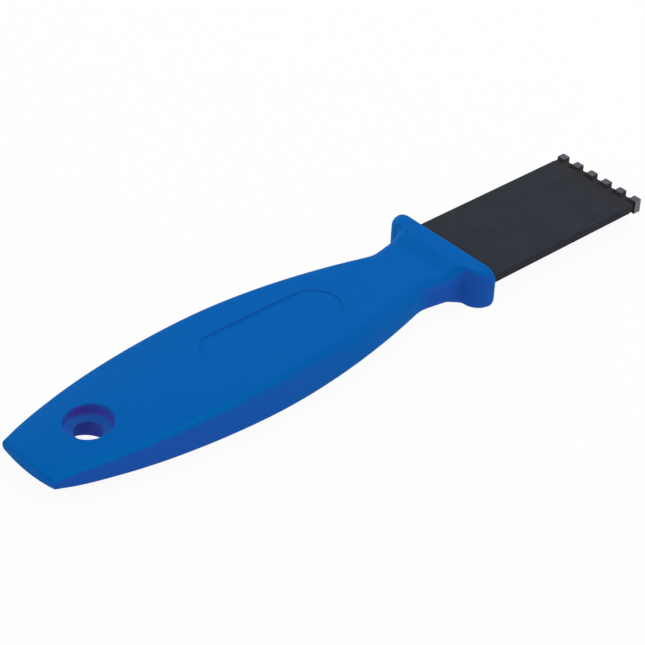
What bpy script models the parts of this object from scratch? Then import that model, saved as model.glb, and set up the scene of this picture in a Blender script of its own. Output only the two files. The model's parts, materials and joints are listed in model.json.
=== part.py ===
"""Carbide scraper: a moulded handle, a flat steel blade and six brazed carbide tips.

Lengths are in metres. X runs along the tool towards the tips, Y across it and Z up.
The origin is the middle of the tool's overall box.
"""
from math import atan, cos, pi, radians, sin, sqrt, tan

import bmesh
import bpy
from mathutils import Matrix, Vector

# Length of the tool
HANDLE_LENGTH = 0.1418
BLADE_REACH = 0.0608

# Grip of the handle, seen from above
BELLY_WIDTH = 0.0372
BELLY_FROM_BUTT = 0.0602
BUTT_WIDTH = 0.0213
BUTT_CORNER_RADIUS = 0.0006
BUTT_ARC_RADIUS = 0.109
BUTT_ARC_FADE = 0.020
NECK_WIDTH = 0.0211
NECK_FROM_GUARD = 0.0190
NECK_BLEND = 0.0024

# Thickness of the grip, seen from the side
CROWN_THICKNESS = 0.0118
CROWN_FROM_BUTT = 0.0771
CROWN_FALL_POWER = 3.9
BUTT_THICKNESS = 0.0041
BUTT_END_ROUND = 0.0007
NECK_THICKNESS = 0.0088

# How far the top and the underside fall from the middle line to the long edges
DOME_DROP_BUTT = 0.0007
DOME_DROP_HOLE = 0.0011
MOULD_DRAFT = radians(1.5)

# Rounding along the grip's long edges
EDGE_ROUND_BUTT = 0.0015
EDGE_ROUND_BELLY = 0.0028
EDGE_ROUND_NECK = 0.0037
EDGE_ROUND_GUARD = 0.0029
EDGE_ROUND_SHARE = 0.9

# Guard at the front of the handle
GUARD_WIDTH = 0.0378
GUARD_HEIGHT = 0.0118
GUARD_RIM = 0.0053
GUARD_RISE = 0.0057
GUARD_FLARE = radians(10.5)
GUARD_BACK_LEAN = radians(10)
GUARD_FLARE_RADIUS = 0.0040
GUARD_CORNER_RADIUS = 0.0039
GUARD_FRONT_ROUND = 0.0009

# Hanging hole, dished on both faces
HOLE_FROM_BUTT = 0.0189
HOLE_DIAMETER = 0.0076
DISH_DIAMETER = 0.0140
DISH_DEPTH = 0.0032
DISH_FLOOR_RISE = 0.0004
DISH_FOOT_ROUND = 0.0010
DISH_RIM_ROUND = 0.0005
DISH_DRAFT = radians(5)

# Shallow panel in the top of the grip
PANEL_LENGTH = 0.0445
PANEL_WIDTH = 0.0150
PANEL_DEPTH = 0.0003
PANEL_FROM_BUTT = 0.0786

# Blade plate and the tang inside the handle
BLADE_WIDTH = 0.0300
BLADE_THICKNESS = 0.0026
BLADE_EDGE_ROUND = 0.0004
SHOULDER_DEPTH = 0.0036
SHOULDER_CORNER_RADIUS = 0.0010
TANG_WIDTH = 0.0140
TANG_LENGTH = 0.0720
TANG_ROOT_RADIUS = 0.0015
TANG_END_RADIUS = 0.0030
TANG_HOLE_DIAMETER = 0.0060
TANG_HOLE_SPACING = 0.0340
TANG_HOLE_FROM_END = 0.0120

# Carbide tips and their brazed seats
TIP_COUNT = 6
TIP_WIDTH = 0.0025
TIP_LENGTH = 0.00243
TIP_HEIGHT = 0.0041
TIP_CHAMFER = 0.00010
TIP_STAND = 0.0001
GULLET_DEPTH = 0.0007
BRAZE_THICKNESS = 0.0003
BRAZE_CLEARANCE = 0.0002
SCALLOP_LENGTH = 0.0018
SCALLOP_DEPTH = 0.0004

# Fit of the moulding round the blade, how far a cutter runs past what it cuts,
# and how near two points of a mesh are one
MOULD_CLEARANCE = 0.0003
CUT_OVERRUN = 0.002
MERGE_DISTANCE = 0.0000002

# Places along the tool
TIP_X = (HANDLE_LENGTH + BLADE_REACH) / 2
BUTT_X = -TIP_X
GUARD_FRONT_X = TIP_X - BLADE_REACH
GUARD_BACK_X = GUARD_FRONT_X - GUARD_RIM
GUARD_ROOT_X = GUARD_BACK_X - GUARD_RISE
NECK_X = GUARD_FRONT_X - NECK_FROM_GUARD
BELLY_X = BUTT_X + BELLY_FROM_BUTT
CROWN_X = BUTT_X + CROWN_FROM_BUTT
HOLE_X = BUTT_X + HOLE_FROM_BUTT
PANEL_X = BUTT_X + PANEL_FROM_BUTT
SHOULDER_X = GUARD_FRONT_X - SHOULDER_DEPTH
TANG_END_X = SHOULDER_X - TANG_LENGTH

# Places across the row of tips
TIP_PITCH = (BLADE_WIDTH - TIP_WIDTH) / (TIP_COUNT - 1)
TIP_BACK_X = TIP_X - TIP_LENGTH
SEAT_GAP = BRAZE_THICKNESS + 2 * BRAZE_CLEARANCE
SEAT_X = TIP_BACK_X - SEAT_GAP
GULLET_HALF = (TIP_PITCH - TIP_WIDTH) / 2
GULLET_RADIUS = (GULLET_HALF ** 2 + GULLET_DEPTH ** 2) / (2 * GULLET_DEPTH)

# How finely the curves are drawn
GRIP_STEPS = 16
FLAT_STEPS = 8
EDGE_STEPS = 6
SMALL_STEPS = 5
FLARE_STEPS = 8
HOLE_STEPS = 48
SMOOTH_ANGLE = radians(35)

# How much of a quarter turn a hole's rounded rim takes
RIM_TURN_BOTTOM = radians(20)
RIM_TURN_TOP = radians(70)

# Colours from the photograph, with roughness and metallic values
BLUE_PLASTIC = ((0.004, 0.112, 0.402, 1.0), 0.42, 0.0)
BLACK_STEEL = ((0.035, 0.038, 0.045, 1.0), 0.45, 0.6)
GREY_CARBIDE = ((0.090, 0.098, 0.115, 1.0), 0.40, 0.8)
DULL_BRAZE = ((0.060, 0.055, 0.050, 1.0), 0.50, 0.8)


def clear_scene():
    """Start from an empty scene."""
    for old in list(bpy.data.objects):
        bpy.data.objects.remove(old, do_unlink=True)


def make_material(name, look):
    """Make a plain material from a colour, a roughness and a metallic value."""
    colour, roughness, metallic = look
    material = bpy.data.materials.new(name)
    material.use_nodes = True
    shader = material.node_tree.nodes["Principled BSDF"]
    shader.inputs["Base Color"].default_value = colour
    shader.inputs["Roughness"].default_value = roughness
    shader.inputs["Metallic"].default_value = metallic
    return material


def add_object(name, bm, look=None):
    """Turn a bmesh into an object in the scene, smooth across its soft edges."""
    bmesh.ops.remove_doubles(bm, verts=bm.verts, dist=MERGE_DISTANCE)
    bmesh.ops.recalc_face_normals(bm, faces=bm.faces)
    mesh = bpy.data.meshes.new(name)
    bm.to_mesh(mesh)
    bm.free()
    mesh.shade_smooth()
    mesh.set_sharp_from_angle(angle=SMOOTH_ANGLE)
    made = bpy.data.objects.new(name, mesh)
    bpy.context.scene.collection.objects.link(made)
    if look:
        mesh.materials.append(make_material(name + "_finish", look))
    return made


def add_cutter(name, bm):
    """Add an object that only cuts others."""
    cutter = add_object(name, bm)
    cutter.hide_render = True
    cutter.display_type = "WIRE"
    return cutter


def cut(target, cutter):
    """Cut one object out of another."""
    boolean = target.modifiers.new(cutter.name, "BOOLEAN")
    boolean.operation = "DIFFERENCE"
    boolean.solver = "EXACT"
    boolean.object = cutter


def prism(outline, low, high):
    """Extrude a plan outline, a list of (x, y), from one height to another."""
    bm = bmesh.new()
    floor = [bm.verts.new((x, y, low)) for x, y in outline]
    bottom = bm.faces.new(floor)
    raised = bmesh.ops.extrude_face_region(bm, geom=[bottom])["geom"]
    top = [part for part in raised if isinstance(part, bmesh.types.BMVert)]
    bmesh.ops.translate(bm, verts=top, vec=(0, 0, high - low))
    return bm


def turned(profile, steps=HOLE_STEPS):
    """Turn a closed profile of (radius, z), which starts and ends on the axis, about Z."""
    bm = bmesh.new()
    chain = [bm.verts.new((radius, 0, z)) for radius, z in profile]
    edges = [bm.edges.new(pair) for pair in zip(chain, chain[1:])]
    bmesh.ops.spin(bm, geom=chain + edges, cent=(0, 0, 0), axis=(0, 0, 1), angle=2 * pi, steps=steps)
    return bm


def arc(centre, radius, start, end, steps):
    """Points of a circular arc in a plane, both ends included."""
    angles = [start + (end - start) * step / steps for step in range(steps + 1)]
    return [(centre[0] + radius * cos(a), centre[1] + radius * sin(a)) for a in angles]


def mirrored(half):
    """Close an outline whose half lies at y > 0 with its mirror image."""
    return half + [(x, -y) for x, y in reversed(half) if y > 0]


def falling(x, peak_x, peak, end_x, end, power=2):
    """A value that falls from its peak to its end, as a parabola unless a power is given."""
    return peak - (peak - end) * abs((x - peak_x) / (end_x - peak_x)) ** power


def between(x, stations):
    """A value read between (place, value) stations, eased at each of them."""
    for (x0, value0), (x1, value1) in zip(stations, stations[1:]):
        if x <= x1:
            share = max(0, (x - x0) / (x1 - x0))
            return value0 + (value1 - value0) * share * share * (3 - 2 * share)
    return stations[-1][1]


def grip_half_width(x):
    """Half the width of the leaf-shaped grip: two parabolas that meet at the belly."""
    if x < BELLY_X:
        return falling(x, BELLY_X, BELLY_WIDTH / 2, BUTT_X, BUTT_WIDTH / 2)
    return falling(x, BELLY_X, BELLY_WIDTH / 2, NECK_X, NECK_WIDTH / 2)


def half_thickness(x):
    """Half the thickness of the handle, which crowns over the grip and rises at the guard."""
    if x < CROWN_X:
        return falling(x, CROWN_X, CROWN_THICKNESS / 2, BUTT_X, BUTT_THICKNESS / 2, CROWN_FALL_POWER)
    if x < GUARD_ROOT_X:
        return falling(x, CROWN_X, CROWN_THICKNESS / 2, GUARD_ROOT_X, NECK_THICKNESS / 2)
    return between(x, ((GUARD_ROOT_X, NECK_THICKNESS / 2), (GUARD_BACK_X, GUARD_HEIGHT / 2)))


def dome_drop(x):
    """How far the grip's domed faces fall towards the long edges, down to level at the crown."""
    return between(x, ((BUTT_X, DOME_DROP_BUTT), (HOLE_X, DOME_DROP_HOLE), (CROWN_X, 0)))


def edge_round(x):
    """Radius of the handle's long edges."""
    return between(x, (
        (BUTT_X, EDGE_ROUND_BUTT),
        (BELLY_X, EDGE_ROUND_BELLY),
        (NECK_X, EDGE_ROUND_NECK),
        (GUARD_BACK_X, EDGE_ROUND_GUARD),
    ))


def handle_outline():
    """Half the handle's plan, as (x, half width) from the butt to the guard's front."""
    butt_steps = [step / SMALL_STEPS for step in range(SMALL_STEPS)]
    outline = []
    for share in butt_steps:
        x = BUTT_X + BUTT_CORNER_RADIUS * (1 - cos(share * pi / 2))
        drop = BUTT_CORNER_RADIUS * (1 - sin(share * pi / 2))
        outline.append((x, grip_half_width(x) - drop))

    # Leaf-shaped grip
    start_x = BUTT_X + BUTT_CORNER_RADIUS
    blend_x = NECK_X - NECK_BLEND
    for first, last in ((start_x, BELLY_X), (BELLY_X, blend_x)):
        for step in range(GRIP_STEPS):
            x = first + (last - first) * step / GRIP_STEPS
            outline.append((x, grip_half_width(x)))

    # Rounded neck, a quadratic curve about the corner where grip and flare would meet
    slope = tan(GUARD_FLARE)
    near = Vector((blend_x, grip_half_width(blend_x)))
    corner = Vector((NECK_X, NECK_WIDTH / 2))
    far = corner + Vector((NECK_BLEND, NECK_BLEND * slope))
    for step in range(SMALL_STEPS + 1):
        share = step / SMALL_STEPS
        point = near.lerp(corner, share).lerp(corner.lerp(far, share), share)
        outline.append(tuple(point))

    # Flare up to the back of the guard
    meet_y = corner.y + slope * (GUARD_BACK_X - NECK_X)
    room = GUARD_WIDTH / 2 - GUARD_CORNER_RADIUS - meet_y
    radius = min(GUARD_FLARE_RADIUS, room / (1 / cos(GUARD_FLARE) - slope))
    centre = (GUARD_BACK_X - radius, meet_y + radius / cos(GUARD_FLARE) - radius * slope)
    outline += arc(centre, radius, GUARD_FLARE - pi / 2, -GUARD_BACK_LEAN, FLARE_STEPS)

    # Rim of the guard
    corner_centre = (GUARD_BACK_X + GUARD_CORNER_RADIUS, GUARD_WIDTH / 2 - GUARD_CORNER_RADIUS)
    outline += arc(corner_centre, GUARD_CORNER_RADIUS, pi - GUARD_BACK_LEAN, pi / 2, SMALL_STEPS)
    return outline


def section(x, half_width, half_height, radius):
    """One cross-section of the handle: domed or level faces, drafted sides, round edges."""
    drop = dome_drop(x)
    edge_height = half_height - drop
    radius = min(radius, EDGE_ROUND_SHARE * edge_height)
    inner = half_width - (edge_height - radius) * tan(MOULD_DRAFT) - radius
    slope = atan(2 * drop / inner)
    quarter = [(half_width, 0)]
    quarter += arc((inner, edge_height - radius), radius, 0, pi / 2 - slope, EDGE_STEPS)
    end_y, end_z = quarter[-1]
    shares = [1 - 2 * step / FLAT_STEPS for step in range(1, FLAT_STEPS)]
    face = [(end_y * share, half_height - (half_height - end_z) * share ** 2) for share in shares]
    upper = quarter + face + [(-y, z) for y, z in reversed(quarter)]
    lower = [(-y, -z) for y, z in upper[1:-1]]
    ring = upper + lower
    return [(x + butt_bow(x, y), y, z) for y, z in ring]


def butt_bow(x, y):
    """How far the butt's arc sets a point forward, which fades out along the grip."""
    fade = max(0, 1 - (x - BUTT_X) / BUTT_ARC_FADE)
    return fade * (BUTT_ARC_RADIUS - sqrt(BUTT_ARC_RADIUS ** 2 - y ** 2))


def handle_sections():
    """Cross-sections of the handle from the butt to the guard's front."""
    sections = []
    for x, half_width in handle_outline():
        height = half_thickness(x)
        near_end = max(0, BUTT_END_ROUND - (x - BUTT_X))
        height -= BUTT_END_ROUND - sqrt(BUTT_END_ROUND ** 2 - near_end ** 2)
        sections.append(section(x, half_width, height, edge_round(x)))
    for step in range(SMALL_STEPS + 1):
        turn = pi / 2 * step / SMALL_STEPS
        inset = GUARD_FRONT_ROUND * (1 - cos(turn))
        x = GUARD_FRONT_X - GUARD_FRONT_ROUND * (1 - sin(turn))
        radius = edge_round(x) - inset
        sections.append(section(x, GUARD_WIDTH / 2 - inset, GUARD_HEIGHT / 2 - inset, radius))
    return sections


def handle_body():
    """Loft the handle through its cross-sections."""
    bm = bmesh.new()
    rings = [[bm.verts.new(point) for point in ring] for ring in handle_sections()]
    count = len(rings[0])
    for back, front in zip(rings, rings[1:]):
        for k in range(count):
            after = (k + 1) % count
            bm.faces.new((back[k], back[after], front[after], front[k]))
    bm.faces.new(rings[-1])

    # The butt's end follows its arc, in upright strips
    butt = rings[0]
    half = count // 2
    for k in range(half):
        strip = [butt[k], butt[k + 1], butt[-k - 1], butt[-k]]
        bm.faces.new(list(dict.fromkeys(strip)))
    return bm


def surface_tilt(x):
    """Turn a cutter so that it stands square to the handle's top at one place."""
    reach = CUT_OVERRUN
    rise = half_thickness(x + reach) - half_thickness(x - reach)
    square = Vector((-rise, 0, 2 * reach))
    return square.to_track_quat("Z", "Y").to_matrix().to_4x4()


def dish_wall():
    """Radius of the dish where its wall meets the handle's face."""
    return DISH_DIAMETER / 2 - DISH_RIM_ROUND


def dish_profile():
    """The dish round the hanging hole: a steep wall, a rounded foot and a shallow floor."""
    top = half_thickness(HOLE_X)
    low = top - DISH_DEPTH
    foot_z = low + DISH_FLOOR_RISE + DISH_FOOT_ROUND
    foot = dish_wall() - (top - foot_z) * tan(DISH_DRAFT) - DISH_FOOT_ROUND / cos(DISH_DRAFT)
    bore = HOLE_DIAMETER / 2
    floor = [(0, low - DISH_FLOOR_RISE * bore / (foot - bore))]
    floor += arc((foot, foot_z), DISH_FOOT_ROUND, -pi / 2, -DISH_DRAFT, SMALL_STEPS)
    past = top + CUT_OVERRUN
    return floor + [(dish_wall() + CUT_OVERRUN * tan(DISH_DRAFT), past), (0, past)]


def rim_profile():
    """The dish's rounded rim at a level face, run past the face and closed on the axis."""
    centre = (dish_wall() + DISH_RIM_ROUND, -DISH_RIM_ROUND * sin(RIM_TURN_TOP))
    rim = arc(centre, DISH_RIM_ROUND, pi - RIM_TURN_BOTTOM, pi - RIM_TURN_TOP, SMALL_STEPS)
    end_radius, end_z = rim[-1]
    past_z = end_z + CUT_OVERRUN * cos(RIM_TURN_TOP)
    past = [(end_radius + CUT_OVERRUN * sin(RIM_TURN_TOP), past_z), (0, past_z)]
    return [(0, rim[0][1])] + rim + past


def pin_profile(radius, reach):
    """A plain round pin that runs the same way up and down."""
    return [(0, -reach), (radius, -reach), (radius, reach), (0, reach)]


def handle():
    """The moulded handle, with the space that the blade's tang fills and the pegs through it."""
    body = add_object("handle", handle_body(), BLUE_PLASTIC)

    # Hanging hole with a dish in each face, their rims square to the sloping faces
    top_z = half_thickness(HOLE_X)
    bore = add_cutter("hole_cutter", turned(pin_profile(HOLE_DIAMETER / 2, top_z + CUT_OVERRUN)))
    bore.location.x = HOLE_X
    bore.rotation_euler.z = pi / HOLE_STEPS
    hole_cutters = [bore]
    for face, turn in (("top", 0), ("underside", pi)):
        over = Matrix.Rotation(turn, 4, "X")
        dish = add_cutter("%s_dish_cutter" % face, turned(dish_profile()))
        dish.matrix_world = over @ Matrix.Translation((HOLE_X, 0, 0))
        rim = add_cutter("%s_rim_cutter" % face, turned(rim_profile()))
        rim.matrix_world = over @ Matrix.Translation((HOLE_X, 0, top_z)) @ surface_tilt(HOLE_X)
        hole_cutters += [dish, rim]

    # Panel with a level floor, let into the crown
    end_z = min(half_thickness(PANEL_X - PANEL_LENGTH / 2), half_thickness(PANEL_X + PANEL_LENGTH / 2))
    radius = PANEL_WIDTH / 2
    straight = PANEL_LENGTH / 2 - radius
    panel = arc((PANEL_X + straight, 0), radius, -pi / 2, pi / 2, HOLE_STEPS // 2)
    panel += arc((PANEL_X - straight, 0), radius, pi / 2, 3 * pi / 2, HOLE_STEPS // 2)
    panel_cutter = add_cutter("panel_cutter", prism(panel, end_z - PANEL_DEPTH, end_z + CUT_OVERRUN))

    # Space round the tang, which leaves the pegs that lock the blade in
    pocket = prism(pocket_outline(), -pocket_half_height(), pocket_half_height())
    pocket_cutter = add_cutter("pocket_cutter", pocket)
    peg = TANG_HOLE_DIAMETER / 2 - MOULD_CLEARANCE
    for number, x in enumerate(tang_holes(), 1):
        pin = turned(pin_profile(peg, pocket_half_height() + CUT_OVERRUN), HOLE_STEPS // 2)
        peg_shape = add_cutter("peg_%d" % number, pin)
        peg_shape.location.x = x
        cut(pocket_cutter, peg_shape)

    for cutter in [panel_cutter] + hole_cutters + [pocket_cutter]:
        cut(body, cutter)
    return body


def tang_holes():
    """Places of the two holes through the tang."""
    first = TANG_END_X + TANG_HOLE_FROM_END
    return first, first + TANG_HOLE_SPACING


def pocket_half_height():
    """Half the height of the space for the blade."""
    return BLADE_THICKNESS / 2 + MOULD_CLEARANCE


def tang_outline(grow):
    """Half the plan of the tang and shoulder, from the tang's end, set outwards by a gap."""
    end_radius = TANG_END_RADIUS + grow
    half = TANG_WIDTH / 2 + grow
    end_x = TANG_END_X - grow
    outline = arc((end_x + end_radius, half - end_radius), end_radius, pi, pi / 2, SMALL_STEPS)
    root = TANG_ROOT_RADIUS - grow
    shoulder_x = SHOULDER_X - grow
    outline += arc((shoulder_x - root, half + root), root, -pi / 2, 0, SMALL_STEPS)
    corner = SHOULDER_CORNER_RADIUS + grow
    wide = BLADE_WIDTH / 2 + grow
    outline += arc((shoulder_x + corner, wide - corner), corner, pi, pi / 2, SMALL_STEPS)
    return outline


def pocket_outline():
    """Plan of the space for the tang, open at the guard's front."""
    half = tang_outline(MOULD_CLEARANCE)
    half.append((GUARD_FRONT_X + CUT_OVERRUN, BLADE_WIDTH / 2 + MOULD_CLEARANCE))
    return mirrored(half)


def front_edge(y):
    """Front edge of the plate at y: a shallow round gullet between each pair of tips."""
    shift = TIP_PITCH / 2 * (TIP_COUNT % 2)
    centre = TIP_PITCH * round((y - shift) / TIP_PITCH) + shift
    off = min(abs(y - centre), GULLET_HALF)
    dip = sqrt(GULLET_RADIUS ** 2 - off ** 2) - sqrt(GULLET_RADIUS ** 2 - GULLET_HALF ** 2)
    return TIP_X - TIP_STAND - dip


def tip_places():
    """Places of the tips across the blade, from the far side to the near side."""
    middle = (TIP_COUNT - 1) / 2
    return [(middle - k) * TIP_PITCH for k in range(TIP_COUNT)]


def blade_outline():
    """Plan of the whole blade: tang, shoulders, plate, end scallops, seats and gullets."""
    left = tang_outline(0)
    inner = BLADE_WIDTH / 2 - SCALLOP_DEPTH
    for step in range(SMALL_STEPS + 1):
        turn = pi / 2 * step / SMALL_STEPS
        x = SEAT_X - SCALLOP_LENGTH * cos(turn)
        left.append((x, BLADE_WIDTH / 2 - (BLADE_WIDTH / 2 - inner) * sin(turn)))
    front = []
    half_seat = TIP_WIDTH / 2 + SEAT_GAP
    places = tip_places()
    for y, after in zip(places, places[1:]):
        start, end = y - half_seat, after + half_seat
        front.append((SEAT_X, start))
        for step in range(SMALL_STEPS + 1):
            across = start + (end - start) * step / SMALL_STEPS
            front.append((front_edge(across), across))
        front.append((SEAT_X, end))
    right = [(x, -y) for x, y in reversed(left)]
    return left + front + right


def blade():
    """The steel plate, its long edges eased where they show and its tang drilled for the pegs."""
    half = BLADE_THICKNESS / 2
    bm = prism(blade_outline(), -half, half)
    start = Vector((GUARD_FRONT_X + MOULD_CLEARANCE, 0, 0))
    everything = bm.verts[:] + bm.edges[:] + bm.faces[:]
    bmesh.ops.bisect_plane(bm, geom=everything, plane_co=start, plane_no=(1, 0, 0))
    slack = BLADE_EDGE_ROUND / 2
    long_edges = []
    for edge in bm.edges:
        ends = [vert.co for vert in edge.verts]
        level = ends[0].z == ends[1].z
        beside = all(abs(abs(co.y) - BLADE_WIDTH / 2) < slack for co in ends)
        shown = all(co.x > start.x - slack for co in ends)
        if level and beside and shown:
            long_edges.append(edge)
    bmesh.ops.bevel(bm, geom=long_edges, offset=BLADE_EDGE_ROUND, segments=3, profile=0.5, affect="EDGES")
    plate = add_object("blade", bm, BLACK_STEEL)
    for number, x in enumerate(tang_holes(), 1):
        drill = turned(pin_profile(TANG_HOLE_DIAMETER / 2, half + CUT_OVERRUN), HOLE_STEPS // 2)
        cutter = add_cutter("tang_hole_%d" % number, drill)
        cutter.location.x = x
        cut(plate, cutter)
    return plate


def carbide_tip(number, y):
    """One carbide tip, taller than the plate and with lightly broken edges."""
    bm = bmesh.new()
    size = Matrix.Diagonal((TIP_LENGTH, TIP_WIDTH, TIP_HEIGHT, 1))
    bmesh.ops.create_cube(bm, size=1, matrix=size)
    bmesh.ops.bevel(bm, geom=bm.edges[:], offset=TIP_CHAMFER, segments=1, affect="EDGES")
    tip = add_object("carbide_tip_%d" % number, bm, GREY_CARBIDE)
    tip.location = (TIP_X - TIP_LENGTH / 2, y, 0)
    return tip


def braze(number, y):
    """The braze round one tip: behind it and along each side where the plate has a wall."""
    inner = TIP_WIDTH / 2 + BRAZE_CLEARANCE
    outer = inner + BRAZE_THICKNESS
    back = TIP_BACK_X - BRAZE_CLEARANCE
    rear = back - BRAZE_THICKNESS
    outside = BLADE_WIDTH / 2 - SCALLOP_DEPTH - abs(y)
    outline = []
    for side in (1, -1):
        if side * y > 0 and abs(y) + outer > BLADE_WIDTH / 2:
            arm = [(rear, outside), (back, outside)]
        else:
            arm = [(rear, outer)]
            arm += [(front_edge(y + side * off), off) for off in (outer, inner)]
            arm += [(back, inner)]
        arm = [(x, y + side * off) for x, off in arm]
        outline += arm if side > 0 else list(reversed(arm))
    half = BLADE_THICKNESS / 2
    return add_object("braze_%d" % number, prism(outline, -half, half), DULL_BRAZE)


def main():
    """Build the scraper."""
    clear_scene()
    handle()
    blade()
    for number, y in enumerate(tip_places(), 1):
        carbide_tip(number, y)
        braze(number, y)


main()
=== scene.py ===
import json
from math import cos, pi, radians, sin, sqrt, tan

import bpy
from bpy.props import FloatProperty, FloatVectorProperty, PointerProperty
from mathutils import Euler, Matrix, Vector

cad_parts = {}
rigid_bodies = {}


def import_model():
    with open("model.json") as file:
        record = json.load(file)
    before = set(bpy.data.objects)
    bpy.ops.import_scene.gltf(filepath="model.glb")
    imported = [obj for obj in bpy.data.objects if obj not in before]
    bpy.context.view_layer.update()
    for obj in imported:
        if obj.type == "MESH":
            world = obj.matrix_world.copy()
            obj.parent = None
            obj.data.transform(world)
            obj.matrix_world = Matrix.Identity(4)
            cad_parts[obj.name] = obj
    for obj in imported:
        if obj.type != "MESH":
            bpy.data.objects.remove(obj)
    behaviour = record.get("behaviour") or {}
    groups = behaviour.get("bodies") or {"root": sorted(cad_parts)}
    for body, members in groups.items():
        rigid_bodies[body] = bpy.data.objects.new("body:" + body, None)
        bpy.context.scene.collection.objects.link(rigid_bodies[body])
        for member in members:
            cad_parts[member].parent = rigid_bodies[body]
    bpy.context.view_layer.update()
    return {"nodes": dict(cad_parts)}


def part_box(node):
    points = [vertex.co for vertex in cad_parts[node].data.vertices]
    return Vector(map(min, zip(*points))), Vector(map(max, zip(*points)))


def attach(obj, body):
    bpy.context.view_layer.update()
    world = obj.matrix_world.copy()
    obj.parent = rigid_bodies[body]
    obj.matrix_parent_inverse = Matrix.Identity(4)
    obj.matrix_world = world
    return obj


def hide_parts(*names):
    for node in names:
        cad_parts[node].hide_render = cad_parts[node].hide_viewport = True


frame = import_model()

bl_info = {
    "name": "Carbide scraper",
    "version": (1, 0, 0),
    "blender": (4, 5, 0),
    "location": "View3D > Sidebar > Scraper",
    "description": "Builds the finish of a carbide scraper round its packed solids",
    "category": "Add Mesh",
}

# Up is out of the face with the panel
UP = Vector((0, 0, 1))

# Where to find the shoulder and the tang: a share of the plate's width, and a distance in metres
SHOULDER_SHARE = 0.45
TANG_CLEARANCE = 0.01

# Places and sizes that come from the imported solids, in metres
HANDLE_LOW, HANDLE_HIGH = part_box("handle")
BLADE_LOW, BLADE_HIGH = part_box("blade")
TIP_NODES = sorted(name for name in frame["nodes"] if name.startswith("carbide_tip"))
BRAZE_NODES = sorted(name for name in frame["nodes"] if name.startswith("braze"))
TIP_BOXES = [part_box(name) for name in TIP_NODES]
BUTT_X = HANDLE_LOW.x
GUARD_FRONT_X = HANDLE_HIGH.x
FLOOR_Z = HANDLE_LOW.z
TIP_X = max(high.x for low, high in TIP_BOXES)
TIP_BACK_X = min(low.x for low, high in TIP_BOXES)
TIP_HALF = max(high.y - low.y for low, high in TIP_BOXES) / 2
TIP_PLACES = [(low.y + high.y) / 2 for low, high in TIP_BOXES]
PLATE_WIDTH = BLADE_HIGH.y - BLADE_LOW.y
PLATE_THICKNESS = BLADE_HIGH.z - BLADE_LOW.z
BLADE_POINTS = [vert.co for vert in frame["nodes"]["blade"].data.vertices]
SHOULDER_X = min(co.x for co in BLADE_POINTS if abs(co.y) > SHOULDER_SHARE * PLATE_WIDTH)
TANG_HALF = max(abs(co.y) for co in BLADE_POINTS if co.x < SHOULDER_X - TANG_CLEARANCE)

# Sizes, angles and shares that a user leaves alone
NECK_BLEND = 0.0024
GUARD_FLARE = radians(10.5)
GUARD_BACK_LEAN = radians(10)
GUARD_FLARE_RADIUS = 0.0055
CROWN_FALL_POWER = 4.6
BUTT_BOW_FADE = 0.020
DISH_DRAFT = radians(5)
RIM_TURN_BOTTOM = radians(12)
RIM_TURN_TOP = radians(78)
PANEL_RIM_LEAN = radians(40)
EDGE_ROUND_SHARE = 0.9
TANG_HOLE_RADIUS = 0.0030
TANG_HOLE_SPACING = 0.0340
TANG_HOLE_FROM_END = 0.0120
TANG_END_ROUND = 0.0030
TANG_ROOT_ROUND = 0.0015
SHOULDER_ROUND = 0.0010
MOULD_ROOM = 0.0003
BRAZE_GAP = 0.00001
FILLET_PROFILE = 0.22

# How shapes are cut, joined and smoothed, and how finely curves are drawn
CUT_OVERRUN = 0.002
TOUCHING = 0.0000005
SHARP_ANGLE = radians(30)
HANDLE_SHARP_ANGLE = radians(32)
TIP_SHARP_ANGLE = radians(60)
GRIP_STEPS = 34
CORNER_STEPS = 8
FLARE_STEPS = 14
EDGE_SEGMENTS = 10
DOME_CUTS = 23
HOLE_STEPS = 96
SMALL_STEPS = 8
GULLET_STEPS = 16
PLATE_EDGE_STEPS = 4
BURR_STEPS = 2
TIP_EDGE_STEPS = 3
FILLET_STEPS = 5


def length(name, default, description):
    """A length in metres that a user may change."""
    return FloatProperty(name=name, default=default, description=description, min=0, unit="LENGTH",
                         subtype="DISTANCE", precision=5)


def colour(name, default, description):
    """A colour that a user may change."""
    return FloatVectorProperty(name=name, default=default, description=description, size=4, min=0, max=1,
                               subtype="COLOR")


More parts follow.
